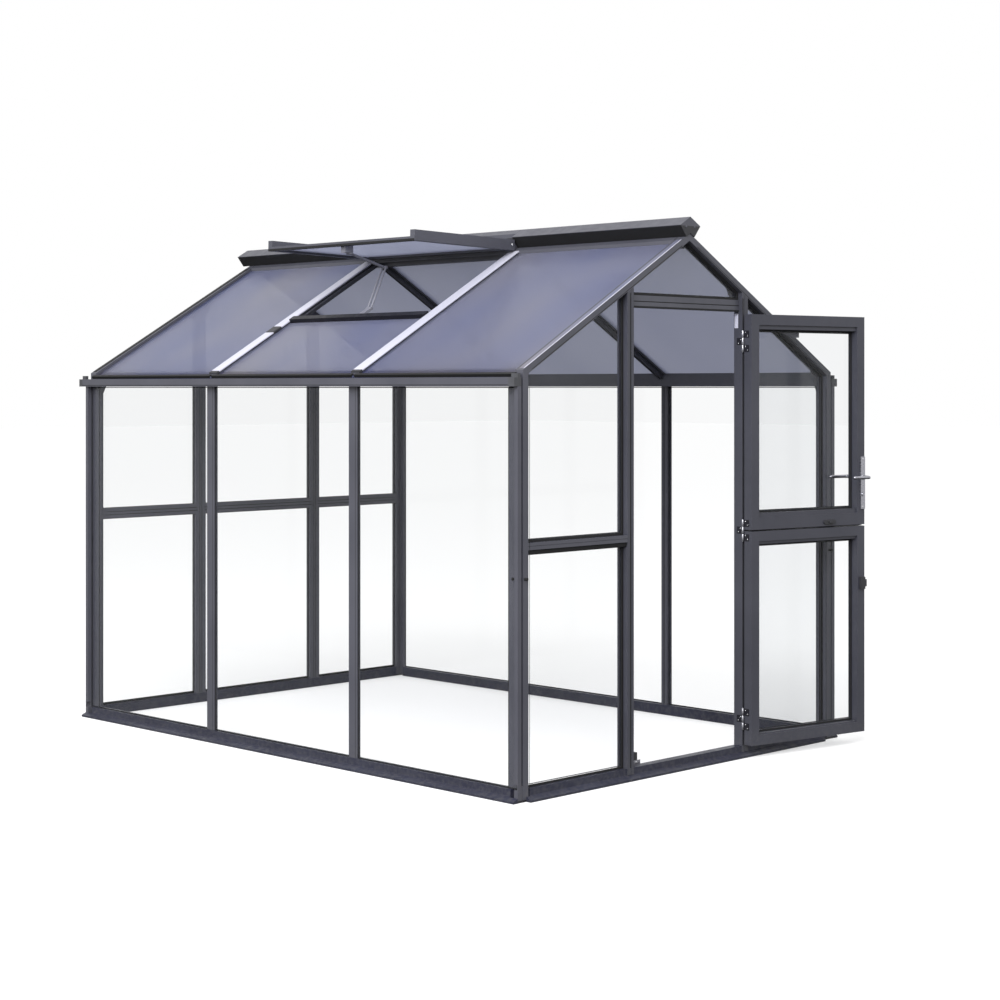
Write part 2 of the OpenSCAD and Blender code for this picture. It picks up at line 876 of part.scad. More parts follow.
module jamb_hinge(z) {
    half = knuckle_l / 2 - knuckle_gap / 2;
    pin_half = knuckle_l * 1.5 + pin_head;
    translate([pin_x, pin_y, z - half]) cylinder(h = 2 * half, r = knuckle_r);
    translate([pin_x, pin_y, z - pin_half]) cylinder(h = 2 * pin_half, r = pin_r);
    block([jamb_x - plate_t, pin_y, z - half], [jamb_x, plate_reach, z + half]);
}

module jamb_hinge_parts() {
    color(silver) for (z = [hinge_low_z, split_z, hinge_top_z]) jamb_hinge(z);
}

// One of a leaf's knuckles, above (1) or below (-1) the jamb's own
module leaf_knuckle(z, side) {
    low = z + (side > 0 ? 0.5 : -1.5) * knuckle_l + knuckle_gap / 2;
    high = low + knuckle_l - knuckle_gap;
    difference() {
        union() {
            translate([pin_x, pin_y, low]) cylinder(h = high - low, r = knuckle_r);
            block([leaf_x1, pin_y, low], [leaf_x1 + plate_t, plate_reach, high]);
        }
        translate([pin_x, pin_y, low - 1]) cylinder(h = high - low + 2, r = pin_r + pin_fit);
    }
}

module upper_leaf_hinges() {
    color(silver) on_leaf() {
        leaf_knuckle(hinge_top_z, 1);
        leaf_knuckle(hinge_top_z, -1);
        leaf_knuckle(split_z, 1);
    }
}

module lower_leaf_hinges() {
    color(silver) on_leaf() {
        leaf_knuckle(split_z, -1);
        leaf_knuckle(hinge_low_z, 1);
        leaf_knuckle(hinge_low_z, -1);
    }
}

module handle_plates() {
    half = plate_w / 2;
    mid = handle_z - plate_drop;
    color(silver) on_leaf() difference() {
        for (y = [-plate_thick, leaf_t])
            block([handle_x - half, y, mid - plate_h / 2],
                  [handle_x + half, y + plate_thick, mid + plate_h / 2]);
        spindle_hole(spindle_r + pin_fit);
    }
}

// One lever, drawn outwards from its back plate along +Y
module lever() {
    translate([0, seat_gap, 0]) rotate([-90, 0, 0]) cylinder(h = neck_l - grip_r, r = neck_r);
    translate([0, neck_l - grip_r, 0]) {
        rotate([0, 90, 0]) cylinder(h = grip_l, r = grip_r);
        sphere(r = neck_r);
        translate([grip_l, 0, 0]) sphere(r = grip_r);
    }
}

module lever_handle() {
    color(silver) on_leaf() translate([handle_x, 0, handle_z]) {
        translate([0, leaf_t + plate_thick, 0]) lever();
        translate([0, -plate_thick, 0]) mirror([0, 1, 0]) lever();
        translate([0, -plate_thick - 2, 0]) rotate([-90, 0, 0])
            cylinder(h = leaf_t + 2 * plate_thick + 4, r = spindle_r);
    }
}

module slide_bolt() {
    r = bolt_w / 2;
    run = bolt_l / 2 - r;
    color(black) on_leaf() translate([leaf_x1 - bolt_reach, leaf_t, bolt_z]) {
        rotate([-90, 0, 0]) linear_extrude(bolt_t) {
            square([2 * run, bolt_w], center = true);
            for (side = [-1, 1]) translate([side * run, 0]) circle(r);
        }
        translate([-8, bolt_t, -4]) cube([16, 8, 8]);
    }
}

module rim_latch() {
    nose_y = leaf_t + leaf_gap;
    color(black) on_leaf() {
        block([leaf_x0 + nose_l, leaf_t, latch_z - latch_h / 2],
              [leaf_x0 + nose_l + latch_w, leaf_t + latch_t, latch_z + latch_h / 2]);
        block([leaf_x0, nose_y, latch_z - nose_h / 2],
              [leaf_x0 + nose_l, leaf_t + latch_t, latch_z + nose_h / 2]);
    }
}

// The catch behind the threshold that holds the closed lower leaf
module door_catch() {
    x = -jamb_x + 44;
    y = frame_d;
    color(silver) block([x, y, 6], [x + 40, y + 3, sill_h - 2]);
    color(black) {
        block([x + 6, y + 3, 28], [x + 34, y + 8, sill_h - 2]);
        block([x + 6, y + 8, 28], [x + 34, y + 26, 88]);
    }
}

base_rail_front();
base_rail_back();
base_rail_left();
base_rail_right();
corner_posts();
corner_feet();
side_posts();
door_jamb_left();
door_jamb_right();
door_header();
back_posts();
front_mid_rails();
back_mid_rails();
front_rafters();
back_rafters();
corner_gussets();
eave_gutter_left();
eave_gutter_right();
gutter_end_caps();
ridge_beam();
ridge_cap();
roof_bars();
roof_bar_caps();
glass_left();
glass_right();
glass_front();
glass_back();
roof_sheets_left();
roof_sheets_right();
vent_sill();
vent_hinge_rail();
vent_sash();
vent_sheet();
vent_opener();
jamb_hinge_parts();
door_catch();
upper_leaf_frame();
upper_leaf_glass();
upper_leaf_hinges();
handle_plates();
slide_bolt();
lever_handle();
lower_leaf_frame();
lower_leaf_glass();
lower_leaf_hinges();
rim_latch();
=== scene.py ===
import bmesh
import bpy
import numpy as np
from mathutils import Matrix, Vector


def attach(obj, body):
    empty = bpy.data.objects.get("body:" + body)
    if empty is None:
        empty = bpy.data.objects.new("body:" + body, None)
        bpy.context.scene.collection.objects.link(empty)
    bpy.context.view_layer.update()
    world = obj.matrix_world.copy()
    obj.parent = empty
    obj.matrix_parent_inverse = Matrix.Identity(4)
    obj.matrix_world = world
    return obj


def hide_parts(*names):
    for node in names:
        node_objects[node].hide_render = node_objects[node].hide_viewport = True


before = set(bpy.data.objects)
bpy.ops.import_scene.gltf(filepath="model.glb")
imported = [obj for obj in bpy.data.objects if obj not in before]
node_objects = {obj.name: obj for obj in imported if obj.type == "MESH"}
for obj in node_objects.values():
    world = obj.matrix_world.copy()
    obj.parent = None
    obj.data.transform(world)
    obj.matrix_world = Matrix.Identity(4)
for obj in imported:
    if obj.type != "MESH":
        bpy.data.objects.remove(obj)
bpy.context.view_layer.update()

# ---- Studio ----
# A pale floor, a white sky that fades to grey below the horizon, and one broad
# soft lamp. The camera stands at eye height off the left front corner, level,
# with its picture shifted down as an architect's lens does.

floor_half, floor_height = 60.0, -0.001
floor_mesh = bpy.data.meshes.new("studio_floor")
floor_mesh.from_pydata(
    [(x * floor_half, y * floor_half, floor_height)
     for x, y in ((-1, -1), (1, -1), (1, 1), (-1, 1))],
    [], [(0, 1, 2, 3)])
studio_floor = bpy.data.objects.new("studio_floor", floor_mesh)
bpy.context.scene.collection.objects.link(studio_floor)
floor_paint = bpy.data.materials.new("floor_paint")
floor_paint.use_nodes = True
floor_shader = floor_paint.node_tree.nodes["Principled BSDF"]
floor_shader.inputs["Base Color"].default_value = (0.60, 0.60, 0.60, 1)
floor_shader.inputs["Emission Color"].default_value = (1, 1, 1, 1)
floor_shader.inputs["Emission Strength"].default_value = 0.40
floor_shader.inputs["Roughness"].default_value = 0.9
floor_mesh.materials.append(floor_paint)
studio_floor.visible_diffuse = False
studio_floor.visible_glossy = False

sky = bpy.data.worlds.new("studio_sky")
bpy.context.scene.world = sky
sky.use_nodes = True
sky.node_tree.nodes["Background"].inputs["Color"].default_value = (1, 1, 1, 1)
sky_where = sky.node_tree.nodes.new("ShaderNodeTexCoord")
sky_height = sky.node_tree.nodes.new("ShaderNodeSeparateXYZ")
sky_fade = sky.node_tree.nodes.new("ShaderNodeMapRange")
sky_fade.inputs["From Min"].default_value = -0.30
sky_fade.inputs["From Max"].default_value = -0.02
sky_fade.inputs["To Min"].default_value = 0.10
sky_fade.inputs["To Max"].default_value = 1.0
sky.node_tree.links.new(sky_where.outputs["Generated"], sky_height.inputs["Vector"])
sky.node_tree.links.new(sky_height.outputs["Z"], sky_fade.inputs["Value"])
sky.node_tree.links.new(sky_fade.outputs["Result"],
                        sky.node_tree.nodes["Background"].inputs["Strength"])
bpy.context.scene.view_settings.view_transform = "Standard"
bpy.context.scene.view_settings.look = "None"


def soft_lamp(name, place, aim, size, power):
    """A square area lamp at place, turned so that it shines along aim - place."""
    lamp = bpy.data.lights.new(name, "AREA")
    lamp.size, lamp.energy = size, power
    holder = bpy.data.objects.new(name, lamp)
    bpy.context.scene.collection.objects.link(holder)
    holder.location = place
    holder.rotation_mode = "QUATERNION"
    holder.rotation_quaternion = (Vector(aim) - Vector(place)).to_track_quat("-Z", "Y")
    return holder


soft_lamp("key_lamp", (-7.5, -3.0, 6.0), (0.0, 1.3, 1.0), 8.0, 1500.0)

camera_data = bpy.data.cameras.new("studio_camera")
camera = bpy.data.objects.new("studio_camera", camera_data)
bpy.context.scene.collection.objects.link(camera)
bpy.context.scene.camera = camera
camera_data.sensor_width = 36.0
camera_data.lens = 72.94
camera_data.shift_y = -0.1128
camera_data.clip_end = 200.0
camera.location = (-6.180, -5.107, 1.5)
camera.rotation_euler = (np.pi / 2, 0.0, np.radians(44.92) - np.pi / 2)

# ---- Powder-coated bars ----
# Extruded aluminium bars, cut to length and powder-coated anthracite grey, the
# base rails darker; the door's frames and the sill get darker copies of the coat
# as painted shade. The coat has a fine orange-peel skin, soft light on its
# rounded edges, and a little dust near the ground.


def new_finish(name):
    """A new material, its node tree and its one Principled shader."""
    finish = bpy.data.materials.new(name)
    finish.use_nodes = True
    return finish, finish.node_tree, finish.node_tree.nodes["Principled BSDF"]


def place_noise(tree, scale, detail=2.0, stretch=(1, 1, 1), roughness=0.5):
    """Noise read at Object coordinates, each axis first multiplied by stretch."""
    where = tree.nodes.new("ShaderNodeTexCoord")
    spread = tree.nodes.new("ShaderNodeMapping")
    spread.inputs["Scale"].default_value = stretch
    noise = tree.nodes.new("ShaderNodeTexNoise")
    noise.inputs["Scale"].default_value = scale
    noise.inputs["Detail"].default_value = detail
    noise.inputs["Roughness"].default_value = roughness
    tree.links.new(where.outputs["Object"], spread.inputs["Vector"])
    tree.links.new(spread.outputs["Vector"], noise.inputs["Vector"])
    return noise.outputs["Fac"]


def steps(tree, value, low, high, from_low=0.3, from_high=0.7):
    """value carried in a straight line from from_low..from_high to low..high,
    and held at both ends."""
    ramp = tree.nodes.new("ShaderNodeMapRange")
    ramp.inputs["From Min"].default_value = from_low
    ramp.inputs["From Max"].default_value = from_high
    ramp.inputs["To Min"].default_value = low
    ramp.inputs["To Max"].default_value = high
    tree.links.new(value, ramp.inputs["Value"])
    return ramp.outputs["Result"]


def blend_colours(tree, share, first, second):
    """first where share is 0, second where it is 1, and a straight mix between."""
    mix = tree.nodes.new("ShaderNodeMix")
    mix.data_type = "RGBA"
    tree.links.new(share, mix.inputs["Factor"])
    for socket, colour in ((mix.inputs[6], first), (mix.inputs[7], second)):
        if isinstance(colour, tuple):
            socket.default_value = (*colour, 1)
        else:
            tree.links.new(colour, socket)
    return mix.outputs[2]


def raise_skin(tree, shader, height, depth, round_edge=0.0):
    """Bump of the given depth in metres over height; round_edge softens the
    shading of edges over that radius, as a real bar's small corner radius does."""
    bump = tree.nodes.new("ShaderNodeBump")
    bump.inputs["Strength"].default_value = 1.0
    bump.inputs["Distance"].default_value = depth
    tree.links.new(height, bump.inputs["Height"])
    if round_edge:
        edge = tree.nodes.new("ShaderNodeBevel")
        edge.samples = 4
        edge.inputs["Radius"].default_value = round_edge
        tree.links.new(edge.outputs["Normal"], bump.inputs["Normal"])
    tree.links.new(bump.outputs["Normal"], shader.inputs["Normal"])


def coated_bar(name, deep, pale, rough):
    """Coat colour between deep and pale by a slow noise, roughness by a finer
    one, orange peel by the finest; a dusty tint fades in towards the ground."""
    finish, tree, shader = new_finish(name)
    drift = steps(tree, place_noise(tree, 4.0, 3.0), 0.0, 1.0)
    colour = blend_colours(tree, drift, deep, pale)
    where = tree.nodes.new("ShaderNodeTexCoord")
    parts = tree.nodes.new("ShaderNodeSeparateXYZ")
    tree.links.new(where.outputs["Object"], parts.inputs["Vector"])
    dust_share, dust_top = 0.28, 0.14
    low_down = steps(tree, parts.outputs["Z"], dust_share, 0.0, 0.0, dust_top)
    grains = steps(tree, place_noise(tree, 55.0, 5.0, (1, 1, 1), 0.7), 0.0, 1.0, 0.42, 0.66)
    dust = tree.nodes.new("ShaderNodeMath")
    dust.operation = "MULTIPLY"
    tree.links.new(low_down, dust.inputs[0])
    tree.links.new(grains, dust.inputs[1])
    colour = blend_colours(tree, dust.outputs["Value"], colour, (0.13, 0.125, 0.12))
    tree.links.new(colour, shader.inputs["Base Color"])
    tree.links.new(steps(tree, place_noise(tree, 30.0, 4.0), rough - 0.06, rough + 0.07),
                   shader.inputs["Roughness"])
    shader.inputs["Specular IOR Level"].default_value = 0.45
    raise_skin(tree, shader, place_noise(tree, 700.0, 2.0), 0.00006, 0.0012)
    return finish


coat_deep, coat_pale, coat_rough = (0.050, 0.051, 0.066), (0.064, 0.065, 0.082), 0.42
anthracite_coat = coated_bar("anthracite_coat", coat_deep, coat_pale, coat_rough)
base_coat = coated_bar("base_coat", (0.017, 0.018, 0.033), (0.026, 0.028, 0.047), 0.38)
base_coat.node_tree.nodes["Principled BSDF"].inputs["Specular IOR Level"].default_value = 0.28
black_and_shade_coat = coated_bar("black_and_shade_coat", (0.010, 0.010, 0.014), (0.015, 0.015, 0.020), coat_rough)
black_and_shade_coat.node_tree.nodes["Principled BSDF"].inputs["Specular IOR Level"].default_value = 0.12


def refinish(finish, *names):
    """Gives each named CAD node the finish on all its faces."""
    for name in names:
        mesh = node_objects[name].data
        mesh.materials.clear()
        mesh.materials.append(finish)


refinish(base_coat, "base_rail_front", "base_rail_back", "base_rail_left", "base_rail_right")
refinish(anthracite_coat, "corner_posts", "side_posts",
         "door_header", "back_posts", "front_mid_rails", "back_mid_rails", "front_rafters",
         "back_rafters", "corner_gussets", "eave_gutter_left", "eave_gutter_right", "ridge_beam",
         "roof_bars", "vent_hinge_rail", "vent_sash")
# Painted shade: the door's jambs and leaf frames get a darker copy of the anthracite coat.
door_shade_coat = coated_bar("door_shade_coat", (0.033, 0.034, 0.046), (0.044, 0.045, 0.059), coat_rough)
refinish(door_shade_coat, "door_jamb_left", "door_jamb_right", "upper_leaf_frame", "lower_leaf_frame")

# Painted shade: the vent sill is coated nearly black.
refinish(black_and_shade_coat, "vent_sill")
opener_coat = coated_bar("opener_coat", (0.150, 0.152, 0.185), (0.190, 0.192, 0.230), 0.36)
refinish(opener_coat, "vent_opener")

# ---- Ridge cap ----
# A folded cap in three lengths. Its two slopes carry the anthracite coat, and
# below its lower corners the skirts are coloured nearly black as painted shade.

skirt_shade_low, skirt_shade_high = 2.1345, 2.1355
ridge_shaded_coat = coated_bar("ridge_shaded_coat", coat_deep, coat_pale, coat_rough)
ridge_tree = ridge_shaded_coat.node_tree
ridge_where = ridge_tree.nodes.new("ShaderNodeTexCoord")
ridge_parts = ridge_tree.nodes.new("ShaderNodeSeparateXYZ")
ridge_tree.links.new(ridge_where.outputs["Object"], ridge_parts.inputs["Vector"])
# Painted shade: the colour turns nearly black below the cap's lower corners.
skirt_shade_mask = steps(ridge_tree, ridge_parts.outputs["Z"], 1.0, 0.0, skirt_shade_low, skirt_shade_high)
ridge_colour = ridge_tree.nodes["Principled BSDF"].inputs["Base Color"]
ridge_tree.links.new(blend_colours(ridge_tree, skirt_shade_mask, ridge_colour.links[0].from_socket,
                                   (0.016, 0.016, 0.020)), ridge_colour)
refinish(ridge_shaded_coat, "ridge_cap")

# ---- Bright metal ----
# The roof bars' caps are mill-finish aluminium with fine lines from the die, a
# thin clear film dulling them. Hinges, levers and handle plates are brushed.


def drawn_metal(name, colour, rough, stretch, depth):
    """Metal with lines: noise squeezed across the drawing direction sets both
    the roughness and a very shallow relief."""
    finish, tree, shader = new_finish(name)
    lines = place_noise(tree, 60.0, 4.0, stretch, 0.6)
    shade = steps(tree, lines, 0.0, 1.0)
    tree.links.new(blend_colours(tree, shade, tuple(0.9 * c for c in colour), colour),
                   shader.inputs["Base Color"])
    tree.links.new(steps(tree, lines, rough - 0.07, rough + 0.08), shader.inputs["Roughness"])
    shader.inputs["Metallic"].default_value = 1.0
    raise_skin(tree, shader, lines, depth, 0.0006)
    return finish


cap_metal = drawn_metal("cap_metal", (0.60, 0.60, 0.70), 0.46, (1.0, 22.0, 1.0), 0.00004)
hinge_metal = drawn_metal("hinge_metal", (0.44, 0.44, 0.48), 0.34, (18.0, 18.0, 1.0), 0.00003)
lever_metal = drawn_metal("lever_metal", (0.42, 0.42, 0.46), 0.26, (1.0, 1.0, 14.0), 0.00003)
cap_metal.node_tree.nodes["Principled BSDF"].inputs["Metallic"].default_value = 0.35
refinish(lever_metal, "handle_plates")

# ---- Black plastic fittings ----
# Gutter ends, post feet, the slide bolt, the latch case and the door catch
# are moulded in black plastic with a fine spark-eroded grain.


def moulded_black(name, colour, grain):
    """Nearly black, its roughness and relief from one fine noise of the given scale."""
    finish, tree, shader = new_finish(name)
    pits = place_noise(tree, grain, 3.0)
    tree.links.new(steps(tree, pits, 0.46, 0.66), shader.inputs["Roughness"])
    tree.links.new(blend_colours(tree, steps(tree, place_noise(tree, 12.0), 0.0, 1.0),
                                 colour, tuple(1.6 * c for c in colour)),
                   shader.inputs["Base Color"])
    raise_skin(tree, shader, pits, 0.00008, 0.001)
    return finish


grain_scale = 900.0
fitting_plastic = moulded_black("fitting_plastic", (0.016, 0.016, 0.019), grain_scale)
cap_plastic = moulded_black("cap_plastic", (0.034, 0.035, 0.040), grain_scale)
refinish(fitting_plastic, "corner_feet", "slide_bolt", "rim_latch", "door_catch")
refinish(cap_plastic, "gutter_end_caps")

# ---- Clear wall and door glass ----
# Float glass 4 mm thick. Almost all light goes straight through it, the door's
# panes a little greyer, and it mirrors more the more it is seen edge-on.


def clear_pane(name, tint):
    """Transparent in the tint, mixed with a mirror by 0.01 plus 0.70 times f to
    the fifth, where f is 0 for a face seen square on and 1 for one edge-on."""
    finish, tree, shader = new_finish(name)
    tree.nodes.remove(shader)
    out = tree.nodes["Material Output"]
    through = tree.nodes.new("ShaderNodeBsdfTransparent")
    through.inputs["Color"].default_value = (*tint, 1)
    gloss = tree.nodes.new("ShaderNodeBsdfGlossy")
    gloss.inputs["Color"].default_value = (0.95, 0.97, 0.97, 1)
    gloss.inputs["Roughness"].default_value = 0.02
    facing = tree.nodes.new("ShaderNodeLayerWeight")
    facing.inputs["Blend"].default_value = 0.5
    edge_on = tree.nodes.new("ShaderNodeMath")
    edge_on.operation = "POWER"
    edge_on.inputs[1].default_value = 5.0
    tree.links.new(facing.outputs["Facing"], edge_on.inputs[0])
    mix = tree.nodes.new("ShaderNodeMixShader")
    tree.links.new(steps(tree, edge_on.outputs["Value"], 0.010, 0.71, 0.0, 1.0), mix.inputs["Fac"])
    tree.links.new(through.outputs["BSDF"], mix.inputs[1])
    tree.links.new(gloss.outputs["BSDF"], mix.inputs[2])
    tree.links.new(mix.outputs["Shader"], out.inputs["Surface"])
    return finish


wall_glass = clear_pane("wall_glass", (0.974, 0.976, 0.977))
refinish(wall_glass, "glass_left", "glass_right", "glass_front", "glass_back")
door_glass = clear_pane("door_glass", (0.950, 0.954, 0.958))
refinish(door_glass, "upper_leaf_glass", "lower_leaf_glass")

# ---- Smoke-tinted roof sheets ----
# Translucent blue-grey sheets slid under the bar caps. They mirror the sky
# softly, dim what is behind them, and are faintly uneven across their width.


def smoke_sheet(name, deep, pale, glow, open_share):
    """A tinted skin mixed half and half with one that lets light soak through in
    the glow colour, and open_share of the whole left clear; the tint drifts
    slowly over the slope."""
    finish, tree, shader = new_finish(name)
    drift = steps(tree, place_noise(tree, 1.3, 1.5, (0.5, 1.5, 1.1)), 0.0, 1.0, 0.2, 0.8)
    tree.links.new(blend_colours(tree, drift, deep, pale), shader.inputs["Base Color"])
    shader.inputs["Roughness"].default_value = 0.26
    shader.inputs["Specular IOR Level"].default_value = 0.35
    soak = tree.nodes.new("ShaderNodeBsdfTranslucent")
    tree.links.new(blend_colours(tree, drift, glow, tuple(1.15 * c for c in glow)),
                   soak.inputs["Color"])
    through = tree.nodes.new("ShaderNodeBsdfTransparent")
    layers = shader.outputs["BSDF"]
    for share, other in ((0.5, soak), (open_share, through)):
        mix = tree.nodes.new("ShaderNodeMixShader")
        mix.inputs["Fac"].default_value = share
        tree.links.new(layers, mix.inputs[1])
        tree.links.new(other.outputs["BSDF"], mix.inputs[2])
        layers = mix.outputs["Shader"]
    tree.links.new(layers, tree.nodes["Material Output"].inputs["Surface"])
    return finish


roof_smoke = smoke_sheet("roof_smoke", (0.020, 0.036, 0.150), (0.110, 0.096, 0.092),
                         (0.545, 0.57, 0.70), 0.20)
refinish(roof_smoke, "roof_sheets_left", "roof_sheets_right", "vent_sheet")

# ---- Glazing seals ----
# Black rubber strips that hold each pane in its frame. They run round the pane
# in one mitred loop and are pressed in between the glass and the bars. On the
# gables their width over the pane is also painted shade.

M = 0.001
frame_depth, glass_front, glass_t = 43 * M, 24 * M, 4 * M
half_width, long = 0.940, 2.760
bay, eave, pitch = 0.920, 1.564, np.radians(30)
ridge = eave + half_width * np.tan(pitch)
sill_top, gutter_low = 45 * M, 1.503
rail_low, rail_high, header_top = 0.907, 0.937, 1.854
door_pane_x, rafter_depth = 0.332, 0.028


def roof_height(x, below=0.0):
    """Height of the plane that lies the given distance under the roof's face:
    the ridge less x times the slope, less the distance over the slope's cosine."""
    return ridge - np.abs(x) * np.tan(pitch) - below / np.cos(pitch)


def mitres(corners, normal):
    """For a loop of corners round a normal: the inward direction at each corner,
    the sum of its two edges' inward normals over one plus their product."""
    ahead = np.roll(corners, -1, 0) - corners
    inward = np.cross(normal, ahead / np.linalg.norm(ahead, axis=1)[:, None])
    before = np.roll(inward, 1, 0)
    return (inward + before) / (1 + (inward * before).sum(1))[:, None]


def carried(path, across, up, profile, closed):
    """A profile carried along a path: point (i, j) is path i, plus profile j's
    first number times across i, plus its second times up i. A path that isn't
    closed has its two ends capped."""
    path, across, up = (np.broadcast_to(a, np.shape(path)) for a in (path, across, up))
    profile = np.asarray(profile, float)
    rows, m = len(path), len(profile)
    grid = (path[:, None] + profile[None, :, :1] * across[:, None]
            + profile[None, :, 1:] * up[:, None])
    i, j = np.meshgrid(np.arange(rows if closed else rows - 1), np.arange(m), indexing="ij")
    i, j = i.ravel(), j.ravel()
    k, l = (i + 1) % rows, (j + 1) % m
    faces = np.stack([i * m + j, i * m + l, k * m + l, k * m + j], 1).tolist()
    if not closed:
        faces += [list(range(m))[::-1], list(range((rows - 1) * m, rows * m))]
    return grid.reshape(-1, 3), faces


def joined(parts):
    """Several meshes as one: their points in a row, face numbers moved up to match."""
    points = np.concatenate([p for p, _ in parts])
    starts = np.cumsum([0] + [len(p) for p, _ in parts[:-1]])
    return points, [[int(v + s) for v in f] for s, (_, fs) in zip(starts, parts) for f in fs]


def new_piece(name, parts, finish, body, smooth=False):
    """One object from joined meshes, its faces turned outwards, riding on a body."""
    points, faces = joined(parts)
    mesh = bpy.data.meshes.new(name)
    mesh.from_pydata(points.tolist(), [], faces)
    work = bmesh.new()
    work.from_mesh(mesh)
    bmesh.ops.recalc_face_normals(work, faces=work.faces)
    work.to_mesh(mesh)
    work.free()
    if smooth:
        mesh.shade_smooth()
        mesh.set_sharp_from_angle(angle=np.radians(38))
    mesh.materials.append(finish)
    piece = bpy.data.objects.new(name, mesh)
    bpy.context.scene.collection.objects.link(piece)
    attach(piece, body)
    return piece


def seal_loop(corners, normal, reach_out, reach_in, low, high):
    """A flat strip round a pane: from reach_out outside its edge to reach_in
    inside it, and from low to high along the normal, with a softened inner lip."""
    corners = np.asarray(corners, float)
    normal = np.asarray(normal, float)
    soft = min(0.4 * (high - low), 0.001)
    profile = [(-reach_out, low), (reach_in, low), (reach_in, high - soft),
               (reach_in - soft, high), (-reach_out, high)]
    return carried(corners, mitres(corners, normal), normal, profile, True)


def under_rafters(x, z):
    """A pane round the middle: its two lower corners at (-x, z) and (x, z), its
    upper edges the rafters' undersides, meeting at the ridge."""
    return [(-x, z), (x, z), (x, roof_height(x, rafter_depth)),
            (0, roof_height(0, rafter_depth)), (-x, roof_height(x, rafter_depth))]


def gable_panes():
    """Outlines of the door gable's five panes at the glass's outer face, in X and Z."""
    far, near = 0.911, 0.372
    left = [[(-far, sill_top), (-near, sill_top), (-near, rail_low), (-far, rail_low)],
            [(-far, rail_high), (-near, rail_high), (-near, roof_height(near, rafter_depth)),
             (-far, roof_height(far, rafter_depth))]]
    right = [[(-a, b) for a, b in pane][::-1] for pane in left]
    return left + right + [under_rafters(door_pane_x, header_top)]


def back_panes():
    """Outlines of the back gable's six panes: the side bays and the middle bay."""
    x = door_pane_x
    low_middle = [(-x, sill_top), (x, sill_top), (x, rail_low), (-x, rail_low)]
    return gable_panes()[:4] + [low_middle, under_rafters(x, rail_high)]


def seal_rubber(name):
    """Black rubber: dull, with a fine mottled skin."""
    finish, tree, shader = new_finish(name)
    mottle = place_noise(tree, 350.0, 3.0)
    tree.links.new(steps(tree, mottle, 0.55, 0.75), shader.inputs["Roughness"])
    shader.inputs["Specular IOR Level"].default_value = 0.2
    tree.links.new(blend_colours(tree, steps(tree, mottle, 0.0, 1.0), (0.010, 0.010, 0.011),
                                 (0.018, 0.018, 0.019)), shader.inputs["Base Color"])
    raise_skin(tree, shader, mottle, 0.00005)
    return finish


# Black rubber for the real seals, also used for the black strips that are painted shade.
seal_and_shade_rubber = seal_rubber("seal_and_shade_rubber")
seat = 0.05 * M
for gable, panes, face, d in (("front", gable_panes(), 0.0, 1),
                              ("back", back_panes(), long, -1)):
    gable_seals_and_shade = []
    for outline in panes:
        outer = [(x, face + d * glass_front, z) for x, z in outline[::d]]
        inner = [(x, face + d * (glass_front + glass_t), z) for x, z in outline[::-d]]
        # The black loops are glazing rubber; the outer loop's reach of 8.5 mm over each pane also
        # paints the shade on the bars' sides behind the glass.
        gable_seals_and_shade.append(seal_loop(outer, (0, -d, 0), 1.6 * M, 8.5 * M, seat, 2.2 * M))
        gable_seals_and_shade.append(seal_loop(inner, (0, d, 0), -8.9 * M, 11.5 * M, seat, 3.0 * M))
    new_piece(gable + "_gable_seals_and_shade", gable_seals_and_shade, seal_and_shade_rubber, "building")

glass_outside, glass_inside, top_edge = 0.948, 0.944, gutter_low - 2 * M
outer_runs = ((0.020, 0.895), (0.945, 1.815), (1.865, 2.740))
inner_runs = ((0.0695, 0.9035), (0.9365, 1.8235), (1.8565, 2.6905))
side_seals = []
for face, runs, d, reach, high in ((glass_outside, outer_runs, 1, 3.5 * M, 2.0 * M),
                                   (glass_inside, inner_runs, -1, 3.0 * M, 2.5 * M)):
    for y0, y1 in runs:
        for side in (-1, 1):
            ring = [(side * face, y, z) for y, z in ((y0, sill_top), (y1, sill_top),
                                                     (y1, top_edge), (y0, top_edge))]
            side_seals.append(seal_loop(ring[::d * side], (d * side, 0, 0), -0.1 * M, reach,
                                        seat, high))
new_piece("side_wall_seals", side_seals, seal_and_shade_rubber, "building")

# ---- Groove shade lines ----
# Narrow black strips along the bars' grooves and joints are painted shade, the
# dark lines in them; they stand a third of a millimetre out of the face.


def shade_line_strip(start, end, outwards, width):
    """A straight strip of the given width from start to end, its face 0.35 mm
    out along outwards and its back 0.3 mm inside the bar, with bevelled edges."""
    start, end, outwards = (np.asarray(a, float) for a in (start, end, outwards))
    along = (end - start) / np.linalg.norm(end - start)
    across = np.cross(outwards, along)
    h, p = width / 2, 0.35 * M
    outline = [(-h, -0.3 * M), (-h, 0.5 * p), (-h + p, p), (h - p, p), (h, 0.5 * p), (h, -0.3 * M)]
    return carried([start, end], across, outwards, outline, False)


foot_z, post_top, inner_face = 0.047, 1.50, long - frame_depth
header_shade_lines = ((1.8095, 7 * M), (1.831, 3 * M))
rail_shade_lines, back_post_shade_lines = (0.915, 0.929), (0.346, 0.358)
rafter_shade_depth, rafter_ends = 0.0215, (0.895, 0.045)
